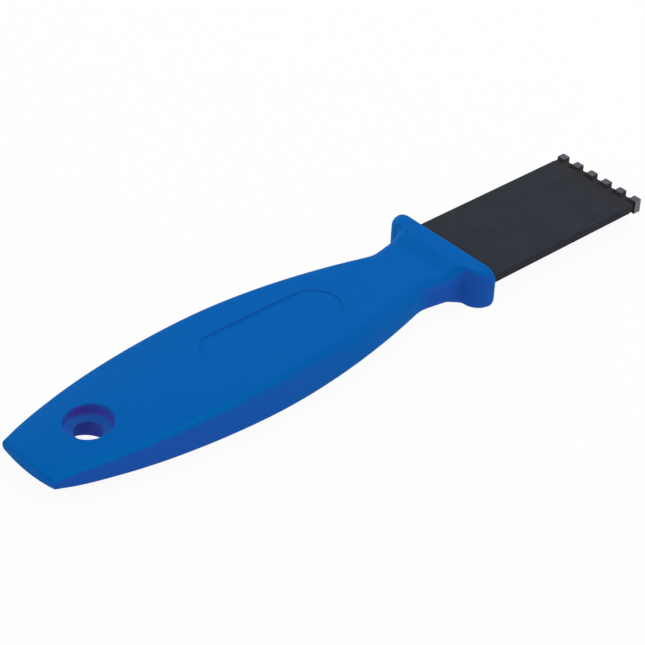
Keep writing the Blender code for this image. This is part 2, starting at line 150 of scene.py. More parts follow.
class ScraperSizes(bpy.types.PropertyGroup):
    """Sizes of the moulded handle and of the details on the blade."""
    belly_width: length("Belly width", 0.0372, "Widest part of the grip")
    belly_place: length("Belly place", 0.0602, "Distance of the widest part from the butt")
    butt_width: length("Butt width", 0.0213, "Width of the butt's end")
    butt_corner: length("Butt corner", 0.0006, "Radius of the butt's corners seen from above")
    butt_bow: length("Butt bow", 0.109, "Radius of the butt's arc seen from above")
    butt_end_round: length("Butt end round", 0.0007, "Rounding of the butt's end")
    butt_thickness: length("Butt thickness", 0.0041, "Thickness at the butt")
    crown_thickness: length("Crown thickness", 0.0118, "Greatest thickness of the grip")
    crown_place: length("Crown place", 0.0771, "Distance of the thickest part from the butt")
    neck_width: length("Neck width", 0.0211, "Narrowest part before the guard")
    neck_place: length("Neck place", 0.0190, "Distance of the neck from the guard's front")
    neck_thickness: length("Neck thickness", 0.0088, "Thickness before the guard")
    guard_width: length("Guard width", 0.0378, "Width of the guard")
    guard_height: length("Guard height", 0.0118, "Height of the guard")
    guard_rim: length("Guard rim", 0.0053, "Length of the guard's rim along the tool")
    guard_rise: length("Guard rise", 0.0057, "Length over which the handle rises to the guard")
    guard_corner: length("Guard corner", 0.0039, "Radius of the guard's back corners")
    guard_front_round: length("Guard front round", 0.0009, "Rounding of the guard's level front edges")
    guard_front_corner: length("Guard front corner", 0.0013, "Radius of the guard's upright front edges")
    dome_butt: length("Dome at the butt", 0.0007, "Fall of the faces to the long edges at the butt")
    dome_hole: length("Dome at the hole", 0.00135, "Fall of the faces to the long edges at the hole")
    edge_butt: length("Edge at the butt", 0.0015, "Radius of the long edges at the butt")
    edge_belly: length("Edge at the belly", 0.0028, "Radius of the long edges at the belly")
    edge_neck: length("Edge at the neck", 0.0037, "Radius of the long edges at the neck")
    edge_guard: length("Edge at the guard", 0.0029, "Radius of the guard's edges")
    hole_place: length("Hole place", 0.0189, "Distance of the hanging hole from the butt")
    hole_width: length("Hole width", 0.0076, "Diameter of the hanging hole")
    dish_width: length("Dish width", 0.0142, "Diameter of the dish round the hole")
    dish_taper: length("Dish taper", 0.0004, "How much smaller the lower dish is at the side")
    dish_depth: length("Dish depth", 0.00345, "Depth of the dish where it meets the bore")
    dish_floor_rise: length("Dish floor rise", 0.0001, "Rise of the dish's floor from bore to wall")
    dish_foot: length("Dish foot", 0.0014, "Rounding at the foot of the dish's wall")
    dish_rim: length("Dish rim", 0.0006, "Rounding of the dish's rim")
    panel_length: length("Panel length", 0.0445, "Length of the shallow panel")
    panel_width: length("Panel width", 0.0150, "Width of the shallow panel")
    panel_depth: length("Panel depth", 0.00021, "Depth of the panel at its shallower end")
    panel_place: length("Panel place", 0.0786, "Distance of the panel's middle from the butt")
    plate_edge: length("Plate edge", 0.0004, "Rounding of the plate's long edges")
    plate_burr: length("Plate burr", 0.00006, "Broken edge round the gullets and seats")
    gullet_depth: length("Gullet depth", 0.0007, "Depth of the gullets between the tips")
    scallop_length: length("Scallop length", 0.0018, "Length of the scallop before each end tip")
    scallop_depth: length("Scallop depth", 0.0004, "Depth of the scallop before each end tip")
    tip_edge: length("Tip edge", 0.00011, "Ground edges of the carbide tips")
    seam: length("Braze seam", 0.0004, "Width of the braze behind each tip")
    seam_side: length("Braze at the sides", 0.0002, "Width of the braze beside each tip")
    fillet: length("Braze fillet", 0.0006, "Reach of the hollow fillets of braze round each tip")


class ScraperColours(bpy.types.PropertyGroup):
    """Colours of the finishes, painted shade and highlights among them."""
    plastic: colour("Plastic", (0.0005, 0.1095, 0.396, 1.0), "Moulded plastic of the handle")
    # Painted shade: the faces turned from the light, more violet
    plastic_painted_shade: colour("Plastic, sides", (0.0118, 0.095, 0.425, 1.0), "Where it turns from the light")
    # Painted highlight on the near ridges and on the back of the far ear
    plastic_painted_highlight: colour("Plastic, ridges", (0.000, 0.136, 0.440, 1.0), "Ridges and the back of the far ear")
    # Painted shade down in the hanging hole
    plastic_painted_recess_shade: colour("Plastic, recesses", (0.114, 0.054, 0.450, 1.0), "Down in the hanging hole")
    steel: colour("Steel", (0.020, 0.023, 0.029, 1.0), "Blackened steel of the blade")
    steel_scorched: colour("Steel, scorched", (0.026, 0.0235, 0.024, 1.0), "Steel browned behind the tips")
    steel_worn: colour("Steel, worn", (0.10, 0.105, 0.115, 1.0), "Steel on worn edges")
    carbide: colour("Carbide", (0.048, 0.054, 0.070, 1.0), "Ground carbide of the tips")
    # Painted shade on the backs of the tips
    carbide_painted_shade: colour("Carbide, shaded backs", (0.006, 0.008, 0.011, 1.0), "Backs of the tips")
    # Painted reflection on the outer sides of the row of tips
    carbide_painted_reflection: colour("Carbide, sides", (0.120, 0.122, 0.128, 1.0), "Outer sides of the row of tips")
    carbide_edge: colour("Carbide, edges", (0.17, 0.18, 0.20, 1.0), "Broken edges of the tips")
    braze: colour("Braze", (0.024, 0.018, 0.014, 1.0), "Dark braze round the tips")
    floor: colour("Floor", (0.90, 0.90, 0.90, 1.0), "Floor under the tool")


def sizes():
    """The sizes in use."""
    return bpy.context.scene.scraper_sizes


def colours():
    """The colours in use."""
    return bpy.context.scene.scraper_colours


# Modelling helpers

def pick(made):
    """Select one object alone and make it the active one."""
    bpy.ops.object.select_all(action="DESELECT")
    bpy.context.view_layer.objects.active = made
    made.select_set(True)


def start_mesh(name):
    """Begin an empty mesh object at the origin and open it for editing."""
    made = bpy.data.objects.new(name, bpy.data.meshes.new(name))
    bpy.context.scene.collection.objects.link(made)
    pick(made)
    bpy.ops.object.mode_set(mode="EDIT")
    bpy.ops.mesh.select_mode(type="VERT")
    return made


def close_mesh(made):
    """Merge what touches, turn the faces outwards and leave edit mode."""
    bpy.ops.mesh.select_all(action="SELECT")
    bpy.ops.mesh.remove_doubles(threshold=TOUCHING)
    bpy.ops.mesh.normals_make_consistent(inside=False)
    bpy.ops.object.mode_set(mode="OBJECT")
    return made


def cut(target, cutter):
    """Cut one closed shape out of another and remove the cutter."""
    pick(target)
    boolean = target.modifiers.new("cut", "BOOLEAN")
    boolean.operation = "DIFFERENCE"
    boolean.solver = "EXACT"
    boolean.object = cutter
    bpy.ops.object.modifier_apply(modifier=boolean.name)
    bpy.data.objects.remove(cutter, do_unlink=True)


def smooth(made, angle=SHARP_ANGLE):
    """Shade a piece smooth, apart from its sharp edges."""
    pick(made)
    bpy.ops.object.shade_smooth_by_angle(angle=angle)


def weigh_normals(made):
    """Let the broad faces carry the shading."""
    pick(made)
    weighted = made.modifiers.new("normals", "WEIGHTED_NORMAL")
    weighted.keep_sharp = True
    bpy.ops.object.modifier_apply(modifier=weighted.name)


def select_edges(made, wanted):
    """Select the edges whose two ends pass a test."""
    bpy.ops.object.mode_set(mode="EDIT")
    bpy.ops.mesh.select_mode(type="EDGE")
    bpy.ops.mesh.select_all(action="DESELECT")
    bpy.ops.object.mode_set(mode="OBJECT")
    verts = made.data.vertices
    for edge in made.data.edges:
        edge.select = wanted(*(verts[index].co for index in edge.vertices))
    bpy.ops.object.mode_set(mode="EDIT")


def finish_piece(made, material, slot, *nodes):
    """Give a piece its material and body, and hide the nodes that it stands for. The slot is not used."""
    made.data.materials.clear()
    made.data.materials.append(material)
    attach(made, "root")
    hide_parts(*nodes)


def copy_along(source, name, offset=(0, 0, 0)):
    """A copy of a piece with its own mesh, set off from the first and left at the origin."""
    pick(source)
    bpy.ops.object.duplicate(linked=False)
    piece = bpy.context.object
    piece.name = name
    bpy.ops.transform.translate(value=offset)
    bpy.ops.object.transform_apply(location=True, rotation=False, scale=False)
    return piece


def add_block(low, high):
    """Add a box between two corners to the mesh being edited."""
    middle = (low + high) / 2
    bpy.ops.mesh.select_all(action="DESELECT")
    bpy.ops.mesh.primitive_cube_add(size=1, location=middle)
    bpy.ops.transform.resize(value=high - low, center_override=middle)


def chain(points):
    """Draw a chain of edges through points, from one vertex that is extruded on."""
    bpy.ops.mesh.select_all(action="DESELECT")
    bpy.ops.mesh.primitive_plane_add(size=CUT_OVERRUN, location=points[0])
    bpy.ops.mesh.merge(type="CENTER")
    for before, after in zip(points, points[1:]):
        step = after - before
        bpy.ops.mesh.extrude_vertices_move(TRANSFORM_OT_translate={"value": step})


def turned(name, origin, axis, profile, turn=0.0):
    """Turn a profile of (radius, height) about an axis through a point, into a closed shape."""
    made = start_mesh(name)
    across = Matrix.Rotation(turn, 3, axis) @ Vector((axis.z, 0, -axis.x))
    chain([origin + across * radius + axis * height for radius, height in profile])
    bpy.ops.mesh.select_all(action="SELECT")
    bpy.ops.mesh.spin(steps=HOLE_STEPS, angle=2 * pi, center=origin, axis=axis)
    return close_mesh(made)


def drill(target, x, radius, reach, turn=0.0):
    """Cut an upright round hole on the tool's middle line, past the target's faces."""
    pin = [(0, -reach), (radius, -reach), (radius, reach), (0, reach)]
    cut(target, turned("drill", Vector((x, 0, 0)), UP, pin, turn))


def slab(name, outline, low, high):
    """A closed plate: an outline of (x, y) drawn as a chain, filled and extruded upwards."""
    made = start_mesh(name)
    chain([Vector((x, y, low)) for x, y in outline])
    bpy.ops.mesh.select_all(action="SELECT")
    bpy.ops.mesh.edge_face_add()
    bpy.ops.mesh.extrude_region_move(TRANSFORM_OT_translate={"value": (0, 0, high - low)})
    return close_mesh(made)


def mirrored(side):
    """The other half of an outline, walked back along the near side."""
    return [(x, -y) for x, y in reversed(side)]


def arc(centre, radius, start, end, steps):
    """Points of a circular arc in a plane, both ends included."""
    angles = [start + (end - start) * step / steps for step in range(steps + 1)]
    return [(centre[0] + radius * cos(a), centre[1] + radius * sin(a)) for a in angles]


def falling(x, peak_x, peak, end_x, end, power=2.0):
    """A value that falls from its peak to its end."""
    return peak - (peak - end) * abs((x - peak_x) / (end_x - peak_x)) ** power


def between(x, stations):
    """A value read between (place, value) stations, eased at each of them."""
    for (x0, value0), (x1, value1) in zip(stations, stations[1:]):
        if x <= x1:
            share = max(0.0, (x - x0) / (x1 - x0))
            return value0 + (value1 - value0) * share * share * (3 - 2 * share)
    return stations[-1][1]


# Handle

def grip_half_width(x):
    """Half the width of the leaf-shaped grip: two parabolas that meet at the belly."""
    size = sizes()
    belly_x = BUTT_X + size.belly_place
    neck_x = GUARD_FRONT_X - size.neck_place
    end_x, end = (BUTT_X, size.butt_width) if x < belly_x else (neck_x, size.neck_width)
    return falling(x, belly_x, size.belly_width / 2, end_x, end / 2)


def half_thickness(x):
    """Half the thickness of the handle, which crowns over the grip and rises at the guard."""
    size = sizes()
    crown = size.crown_thickness / 2
    crown_x = BUTT_X + size.crown_place
    back_x = GUARD_FRONT_X - size.guard_rim
    root_x = back_x - size.guard_rise
    if x < crown_x:
        return falling(x, crown_x, crown, BUTT_X, size.butt_thickness / 2, CROWN_FALL_POWER)
    if x < root_x:
        return falling(x, crown_x, crown, root_x, size.neck_thickness / 2)
    return between(x, ((root_x, size.neck_thickness / 2), (back_x, size.guard_height / 2)))


def edge_round(x):
    """Radius of the handle's long edges."""
    size = sizes()
    return between(x, (
        (BUTT_X, size.edge_butt),
        (BUTT_X + size.belly_place, size.edge_belly),
        (GUARD_FRONT_X - size.neck_place, size.edge_neck),
        (GUARD_FRONT_X - size.guard_rim, size.edge_guard),
    ))


def dome_drop(x):
    """How far the grip's domed faces fall towards the long edges, down to level at the crown."""
    size = sizes()
    return between(x, (
        (BUTT_X, size.dome_butt),
        (BUTT_X + size.hole_place, size.dome_hole),
        (BUTT_X + size.crown_place, 0),
    ))


def dome_rise(x, half_width, radius):
    """Height of the dome's whole parabola, which carries on over the rounded edges."""
    return dome_drop(x) * (half_width / (half_width - radius)) ** 2


def handle_outline():
    """Half the handle's plan, as (x, half width) from the butt to the guard's rim."""
    size = sizes()
    outline = []
    for step in range(CORNER_STEPS):
        turn = pi / 2 * step / CORNER_STEPS
        x = BUTT_X + size.butt_corner * (1 - cos(turn))
        outline.append((x, grip_half_width(x) - size.butt_corner * (1 - sin(turn))))

    belly_x = BUTT_X + size.belly_place
    neck_x = GUARD_FRONT_X - size.neck_place
    back_x = GUARD_FRONT_X - size.guard_rim
    blend_x = neck_x - NECK_BLEND
    for first, last in ((BUTT_X + size.butt_corner, belly_x), (belly_x, blend_x)):
        outline += [(x, grip_half_width(x)) for x in
                    (first + (last - first) * step / GRIP_STEPS for step in range(GRIP_STEPS))]

    # Rounded neck, a quadratic curve about the corner where grip and flare would meet
    slope = tan(GUARD_FLARE)
    near = Vector((blend_x, grip_half_width(blend_x)))
    corner = Vector((neck_x, size.neck_width / 2))
    far = corner + Vector((NECK_BLEND, NECK_BLEND * slope))
    for step in range(CORNER_STEPS + 1):
        share = step / CORNER_STEPS
        outline.append(tuple(near.lerp(corner, share).lerp(corner.lerp(far, share), share)))

    # Flare up to the back of the guard, with straight stretches between the curves
    meet_y = corner.y + slope * (back_x - neck_x)
    room = size.guard_width / 2 - size.guard_corner - meet_y
    radius = min(GUARD_FLARE_RADIUS, room / (1 / cos(GUARD_FLARE) - slope))
    centre = (back_x - radius, meet_y + radius / cos(GUARD_FLARE) - radius * slope)
    flare = arc(centre, radius, GUARD_FLARE - pi / 2, -GUARD_BACK_LEAN, FLARE_STEPS)
    first, last = Vector(outline[-1]), Vector(flare[0])
    outline += [tuple(first.lerp(last, step / CORNER_STEPS)) for step in range(1, CORNER_STEPS)]
    outline += flare
    rim_centre = (back_x + size.guard_corner, size.guard_width / 2 - size.guard_corner)
    outline += arc(rim_centre, size.guard_corner, pi - GUARD_BACK_LEAN, pi / 2, FLARE_STEPS)
    return outline


def handle_sections():
    """Cross-sections of the handle as (x, half width, half height, edge radius, rise of the dome)."""
    size = sizes()
    sections = []
    for x, half_width in handle_outline():
        near_end = max(0, size.butt_end_round - (x - BUTT_X))
        height = half_thickness(x) - size.butt_end_round + sqrt(size.butt_end_round ** 2 - near_end ** 2)
        radius = min(edge_round(x), EDGE_ROUND_SHARE * (height - dome_drop(x)))
        rise = dome_rise(x, half_width, radius)
        sections.append((x, half_width, height - rise, radius - rise + dome_drop(x), rise))
    for step in range(CORNER_STEPS + 1):
        turn = pi / 2 * step / CORNER_STEPS
        aside = size.guard_front_corner * (1 - cos(turn))
        x = GUARD_FRONT_X - size.guard_front_corner * (1 - sin(turn))
        near_end = max(0, size.guard_front_round - (GUARD_FRONT_X - x))
        inset = size.guard_front_round - sqrt(size.guard_front_round ** 2 - near_end ** 2)
        radius = edge_round(x) + size.guard_front_round * step / CORNER_STEPS
        sections.append((x, size.guard_width / 2 - aside, size.guard_height / 2 - inset, radius, 0))
    return sections


def face_height(x, y):
    """Height of the domed top of the grip over a place in plan."""
    half_width = grip_half_width(x)
    return half_thickness(x) - dome_rise(x, half_width, edge_round(x)) * (y / half_width) ** 2


def add_ring(x, half_width, half_height, radius):
    """Add one cross-section: a plane stood across the tool, its corners rounded and its face taken out."""
    bpy.ops.mesh.select_all(action="DESELECT")
    bpy.ops.mesh.primitive_plane_add(size=1, location=(x, 0, 0), rotation=(0, pi / 2, 0))
    bpy.ops.transform.resize(value=(1, 2 * half_width, 2 * half_height), center_override=(x, 0, 0))
    bpy.ops.mesh.bevel(offset=radius, segments=EDGE_SEGMENTS, affect="VERTICES")
    bpy.ops.mesh.delete(type="ONLY_FACE")


def dome_faces(handle, sections):
    """Raise the faces towards their middle line, each vertex by its section's dome."""
    for vert in handle.data.vertices:
        _, half_width, half_height, _, rise = min(sections, key=lambda section: abs(section[0] - vert.co.x))
        vert.co.z *= 1 + rise / half_height * (1 - (vert.co.y / half_width) ** 2)


def bow_butt(handle):
    """Set the butt forward towards its corners, along its arc, fading out along the grip."""
    size = sizes()
    for vert in handle.data.vertices:
        fade = max(0, 1 - (vert.co.x - BUTT_X) / BUTT_BOW_FADE)
        vert.co.x += fade * (size.butt_bow - sqrt(size.butt_bow ** 2 - vert.co.y ** 2))


def dish_profile(wall, top):
    """The dish round the hanging hole: a steep wall, a rounded foot and a shallow floor."""
    size = sizes()
    low = top - size.dish_depth
    foot_z = low + size.dish_floor_rise + size.dish_foot
    foot = wall - (top - foot_z) * tan(DISH_DRAFT) - size.dish_foot / cos(DISH_DRAFT)
    bore = size.hole_width / 2
    floor = [(0, low - size.dish_floor_rise * bore / (foot - bore))]
    floor += arc((foot, foot_z), size.dish_foot, -pi / 2, -DISH_DRAFT, CORNER_STEPS)
    past = top + CUT_OVERRUN
    return floor + [(wall + CUT_OVERRUN * tan(DISH_DRAFT), past), (0, past)]


def rim_profile(wall, rounding):
    """The dish's rounded rim at a level face, run past the face and closed on the axis."""
    centre = (wall + rounding, -rounding * sin(RIM_TURN_TOP))
    rim = arc(centre, rounding, pi - RIM_TURN_BOTTOM, pi - RIM_TURN_TOP, CORNER_STEPS)
    end_radius, end_z = rim[-1]
    past_z = end_z + CUT_OVERRUN * cos(RIM_TURN_TOP)
    past = [(end_radius + CUT_OVERRUN * sin(RIM_TURN_TOP), past_z), (0, past_z)]
    return [(0, rim[0][1])] + rim + past


def cut_hole(handle):
    """Cut the hanging hole, with a dish in each face whose rounded rim follows the dome."""
    size = sizes()
    place = Vector((BUTT_X + size.hole_place, 0, 0))
    top = half_thickness(place.x)
    turn = pi / HOLE_STEPS
    drill(handle, place.x, size.hole_width / 2, top + CUT_OVERRUN, turn)
    for way, less in ((1, 0), (-1, size.dish_taper)):
        wall = size.dish_width / 2 - size.dish_rim - less
        axis = way * UP
        cut(handle, turned("dish", place, axis, dish_profile(wall, top)))
        rim = turned("rim", place, axis, rim_profile(wall, size.dish_rim), turn)
        for vert in rim.data.vertices:
            vert.co.z += way * face_height(vert.co.x, vert.co.y)
        cut(handle, rim)


def cut_panel(handle):
    """Let the shallow panel into the top of the grip."""
    size = sizes()
    middle = BUTT_X + size.panel_place
    radius = size.panel_width / 2
    straight = size.panel_length / 2 - radius
    low = min(half_thickness(middle + way * size.panel_length / 2) for way in (-1, 1))
    floor = low - size.panel_depth
    ceiling = floor + CUT_OVERRUN
    lean = tan(PANEL_RIM_LEAN)
    foot = radius - size.panel_depth * lean
    past = radius + (CUT_OVERRUN - size.panel_depth) * lean
    wall = [(0, floor), (foot, floor), (past, ceiling), (0, ceiling)]
    panel = start_mesh("panel")
    for x, way in ((middle + straight, 1), (middle - straight, -1)):
        chain([Vector((x, -radial * way, z)) for radial, z in wall])
        bpy.ops.mesh.select_linked()
        bpy.ops.mesh.spin(steps=HOLE_STEPS // 2, angle=-pi, center=(x, 0, 0), axis=(0, 0, 1))
    bpy.ops.mesh.select_all(action="SELECT")
    bpy.ops.mesh.remove_doubles(threshold=TOUCHING)
    bpy.ops.mesh.convex_hull()
    cut(handle, close_mesh(panel))


def tang_holes():
    """Places of the two holes through the tang."""
    first = BLADE_LOW.x + TANG_HOLE_FROM_END
    return first, first + TANG_HOLE_SPACING


def tang_outline(grow):
    """Half the plan of the tang and shoulder, from the tang's end, set outwards by a gap."""
    end_round = TANG_END_ROUND + grow
    half = TANG_HALF + grow
    outline = arc((BLADE_LOW.x - grow + end_round, half - end_round), end_round, pi, pi / 2, SMALL_STEPS)
    root = TANG_ROOT_ROUND - grow
    shoulder_x = SHOULDER_X - grow
    outline += arc((shoulder_x - root, half + root), root, -pi / 2, 0, SMALL_STEPS)
    corner = SHOULDER_ROUND + grow
    wide = PLATE_WIDTH / 2 + grow
    return outline + arc((shoulder_x + corner, wide - corner), corner, pi, pi / 2, SMALL_STEPS)


def cut_pocket(handle):
    """Cut the space for the blade's shoulders and tang, round the pegs that lock it."""
    half = PLATE_THICKNESS / 2 + MOULD_ROOM
    side = tang_outline(MOULD_ROOM)
    side.append((GUARD_FRONT_X + CUT_OVERRUN, PLATE_WIDTH / 2 + MOULD_ROOM))
    pocket = slab("pocket", side + mirrored(side), -half, half)
    for x in tang_holes():
        drill(pocket, x, TANG_HOLE_RADIUS - MOULD_ROOM, 2 * half)
    cut(handle, pocket)


class SCRAPER_OT_handle(bpy.types.Operator):
    """Model the moulded handle as a loft through rounded cross-sections, with its hole and panel cut"""
    bl_idname = "scraper.handle"
    bl_label = "Handle"

    def execute(self, context):
        handle = start_mesh("moulded_handle")
        sections = handle_sections()
        for section in sections:
            add_ring(*section[:4])
        bpy.ops.mesh.select_all(action="SELECT")
        bpy.ops.mesh.bridge_edge_loops(type="SINGLE")
        bpy.ops.mesh.select_all(action="SELECT")
        bpy.ops.mesh.fill_holes(sides=0)
        close_mesh(handle)
        select_edges(handle, lambda a, b: a.y * b.y < 0)
        bpy.ops.mesh.subdivide(number_cuts=DOME_CUTS)
        bpy.ops.object.mode_set(mode="OBJECT")
        dome_faces(handle, sections)
        bow_butt(handle)
        cut_hole(handle)
        cut_panel(handle)
        cut_pocket(handle)
        smooth(handle, HANDLE_SHARP_ANGLE)
        weigh_normals(handle)
        finish_piece(handle, plastic_material(), "handle_plastic", "handle")
        return {"FINISHED"}


# Blade, tips and braze

def gullet(start, end):
    """Front edge of the plate from one tip to the next: a shallow round gullet."""
    depth = sizes().gullet_depth
    half = abs(end - start) / 2
    radius = (half ** 2 + depth ** 2) / (2 * depth)
    rise = sqrt(radius ** 2 - half ** 2)
    points = []
    for step in range(GULLET_STEPS + 1):
        share = 2 * step / GULLET_STEPS - 1
        across = (start + end) / 2 + share * (end - start) / 2
        points.append((BLADE_HIGH.x - sqrt(radius ** 2 - (share * half) ** 2) + rise, across))
    return points


def plate_outline():
    """Plan of the whole blade, with a seat for each tip's braze."""
    size = sizes()
    seat_x = TIP_BACK_X - size.seam - BRAZE_GAP
    seat_half = TIP_HALF + size.seam_side + BRAZE_GAP
    side = tang_outline(0)
    for step in range(SMALL_STEPS + 1):
        turn = pi / 2 * step / SMALL_STEPS
        x = seat_x - size.scallop_length * cos(turn)
        side.append((x, PLATE_WIDTH / 2 - size.scallop_depth * sin(turn)))
    front = []
    for y, after in zip(TIP_PLACES, TIP_PLACES[1:]):
        start, end = y - seat_half, after + seat_half
        front += [(seat_x, start)] + gullet(start, end) + [(seat_x, end)]
    return side + front + mirrored(side)


class SCRAPER_OT_blade(bpy.types.Operator):
    """Model the steel blade as a plate with its tang, gullets and the seats for the tips"""
    bl_idname = "scraper.blade"
    bl_label = "Blade"

    def execute(self, context):
        size = sizes()
        half = PLATE_THICKNESS / 2
        blade = slab("steel_blade", plate_outline(), -half, half)
        for x in tang_holes():
            drill(blade, x, TANG_HOLE_RADIUS, 2 * half)
        slack = size.plate_edge / 4

        def long_edge(a, b):
            level = abs(a.z - b.z) < slack
            beside = min(abs(a.y), abs(b.y)) > PLATE_WIDTH / 2 - slack
            return level and beside and max(a.x, b.x) > GUARD_FRONT_X

        def front_edge(a, b):
            level = abs(a.z - b.z) < slack and abs(a.z) > half - slack
            return level and min(a.x, b.x) > TIP_BACK_X - size.seam - size.scallop_length - slack

        select_edges(blade, long_edge)
        bpy.ops.mesh.bevel(offset=size.plate_edge, segments=PLATE_EDGE_STEPS, affect="EDGES")
        select_edges(blade, front_edge)
        bpy.ops.mesh.bevel(offset=size.plate_burr, segments=BURR_STEPS, affect="EDGES", clamp_overlap=True)
        close_mesh(blade)
        smooth(blade)
        weigh_normals(blade)
        finish_piece(blade, steel_material(), "blade_steel", "blade")
        return {"FINISHED"}


class SCRAPER_OT_tips(bpy.types.Operator):
    """Model one ground carbide tip and copy it into each seat"""
    bl_idname = "scraper.tips"
    bl_label = "Carbide tips"

    def execute(self, context):
        low, high = TIP_BOXES[0]
        tip = start_mesh("carbide_piece")
        add_block(low, high)
        bpy.ops.mesh.bevel(offset=sizes().tip_edge, segments=TIP_EDGE_STEPS, affect="EDGES")
        close_mesh(tip)
        smooth(tip, TIP_SHARP_ANGLE)
        weigh_normals(tip)
        material = carbide_material()
        for number, (node, box) in enumerate(zip(TIP_NODES, TIP_BOXES), 1):
            piece = copy_along(tip, "carbide_piece_%d" % number, box[0] - low)
            finish_piece(piece, material, "tip_carbide", node)
        bpy.data.objects.remove(tip, do_unlink=True)
        return {"FINISHED"}


def braze_bead(name, y):
    """The braze of one tip: a block with hollow outer edges, less the room for the plate and the tip."""
    size = sizes()
    top = TIP_BOXES[0][1].z - size.tip_edge
    edge_y = PLATE_WIDTH / 2 - size.scallop_depth
    rear_x = TIP_BACK_X - size.fillet / 2
    near = max(y - TIP_HALF - size.fillet, -edge_y)
    far = min(y + TIP_HALF + size.fillet, edge_y)

    def outer(a, b):
        behind = max(a.x, b.x) < rear_x
        level = abs(a.z - b.z) < BRAZE_GAP and (behind or abs(a.y - b.y) < BRAZE_GAP)
        upright = abs(a.z - b.z) > top and min(a.x, b.x) > rear_x
        within = min(abs(a.y), abs(b.y)) < edge_y - BRAZE_GAP
        return (level or upright) and (within or behind)

    bead = start_mesh(name)
    add_block(Vector((TIP_BACK_X - size.fillet, near, -top)), Vector((BLADE_HIGH.x, far, top)))
    select_edges(bead, outer)
    reach = size.fillet - 2 * BRAZE_GAP
    bpy.ops.mesh.bevel(offset=reach, segments=FILLET_STEPS, profile=FILLET_PROFILE, affect="EDGES")
    close_mesh(bead)
    cut(bead, copy_along(bpy.data.objects["steel_blade"], "plate_room"))
    room = start_mesh("tip_room")
    beside = TIP_HALF + BRAZE_GAP
    low = Vector((TIP_BACK_X - BRAZE_GAP, y - beside, -2 * top))
    add_block(low, Vector((TIP_X + beside, y + beside, 2 * top)))
    cut(bead, close_mesh(room))
    smooth(bead)
    return bead


class SCRAPER_OT_braze(bpy.types.Operator):
    """Model the dark braze of each tip: the seam in its seat and the hollow fillets round it"""
    bl_idname = "scraper.braze"
    bl_label = "Braze"

    def execute(self, context):
        material = braze_material()
        for number, (node, y) in enumerate(zip(BRAZE_NODES, TIP_PLACES), 1):
            bead = braze_bead("braze_bead_%d" % number, y)
            finish_piece(bead, material, "braze_metal", node)
        return {"FINISHED"}


# Finishes: each span is where a mask begins and where it is full

EDGE_BEND = (0.98, 0.80)
TURNED_NEAR = (-0.30, -0.80)
STEEP = (0.80, 0.50)
RIDGE_RISE = (0.55, 0.80)
RIDGE_FALL = (0.99, 0.93)
RIDGE_SIDE = (0.5, -0.3)
EAR_SIDE = (-0.05, 0.10)
EAR_BACK = (0.0, -0.40)
FACING_BUTT = (0.45, -0.25)
SKY_HIDDEN = (0.97, 0.72)
# Span of the painted shade on the backs of the tips
BACK_SHADE_SPAN = (0.0, 0.5)
GRAIN_SPREAD = (0.3, 0.7)
WHOLE = (0.0, 1.0)

# Shares, scales and reaches of the finishes
BUTT_SHARE = -2.0
NEAR_SHARE = 0.6
COARSE_SCALE = 0.18
BREAKUP_SCALE = 700.0
DISH_REACH = 0.006
DISH_LEAST = 0.22
WEAR_SHARE = 0.35
SCORCH_REACH = 0.006


def new_tree(name):
    """A new material, its node tree and its shader."""
    material = bpy.data.materials.new(name)
    material.use_nodes = True
    return material, material.node_tree, material.node_tree.nodes["Principled BSDF"]


def add_node(tree, kind, inputs=None, **settings):
    """Add a node, set its settings and its inputs; an input given as a socket is linked."""
    made = tree.nodes.new(kind)
    for key, value in settings.items():
        setattr(made, key, value)
    for key, value in (inputs or {}).items():
        if isinstance(value, bpy.types.NodeSocket):
            tree.links.new(value, made.inputs[key])
        else:
            made.inputs[key].default_value = value
    return made


def calculated(tree, operation, *values):
    """What a Math node makes of numbers or sockets."""
    return add_node(tree, "ShaderNodeMath", dict(enumerate(values)), operation=operation).outputs[0]


def ramp(tree, value, span, low=0.0, high=1.0):
    """A value read as low at the start of its span and high at the end."""
    start, end = span
    return add_node(tree, "ShaderNodeMapRange", {
        "Value": value, "From Min": start, "From Max": end, "To Min": low, "To Max": high}).outputs["Result"]


def noise(tree, scale, **inputs):
    """Noise on a piece's own coordinates."""
    place = add_node(tree, "ShaderNodeTexCoord")
    values = {"Vector": place.outputs["Object"], "Scale": scale, **inputs}
    return add_node(tree, "ShaderNodeTexNoise", values).outputs["Fac"]


def place_along(tree, axis):
    """A point's place on a piece, along one axis."""
    place = add_node(tree, "ShaderNodeTexCoord")
    return add_node(tree, "ShaderNodeSeparateXYZ", {"Vector": place.outputs["Object"]}).outputs[axis]


def mixed(tree, factor, first, second):
    """A colour between two others."""
    return add_node(tree, "ShaderNodeMix", {0: factor, 6: first, 7: second}, data_type="RGBA").outputs[2]


def open_group(name, inputs, outputs):
    """A node group with named number inputs and outputs, and the nodes that stand for them if it is new."""
    group = bpy.data.node_groups.get(name)
    if group:
        return group, None, None
    group = bpy.data.node_groups.new(name, "ShaderNodeTree")
    for label, value in inputs:
        socket = group.interface.new_socket(name=label, in_out="INPUT", socket_type="NodeSocketFloat")
        socket.default_value = value
    for label in outputs:
        group.interface.new_socket(name=label, in_out="OUTPUT", socket_type="NodeSocketFloat")
    return group, group.nodes.new("NodeGroupInput"), group.nodes.new("NodeGroupOutput")


def drift_group():
    """Slow change of tone over a surface, as a factor round 1."""
    group, given, result = open_group("Tone drift", (("Scale", 60.0), ("Amount", 0.05)), ("Factor",))
    if given:
        patches = noise(group, given.outputs["Scale"], Detail=4.0, Roughness=0.6)
        spread = calculated(group, "SUBTRACT", patches, 0.5)
        factor = calculated(group, "MULTIPLY_ADD", spread, given.outputs["Amount"], 1.0)
        group.links.new(factor, result.inputs["Factor"])
    return group


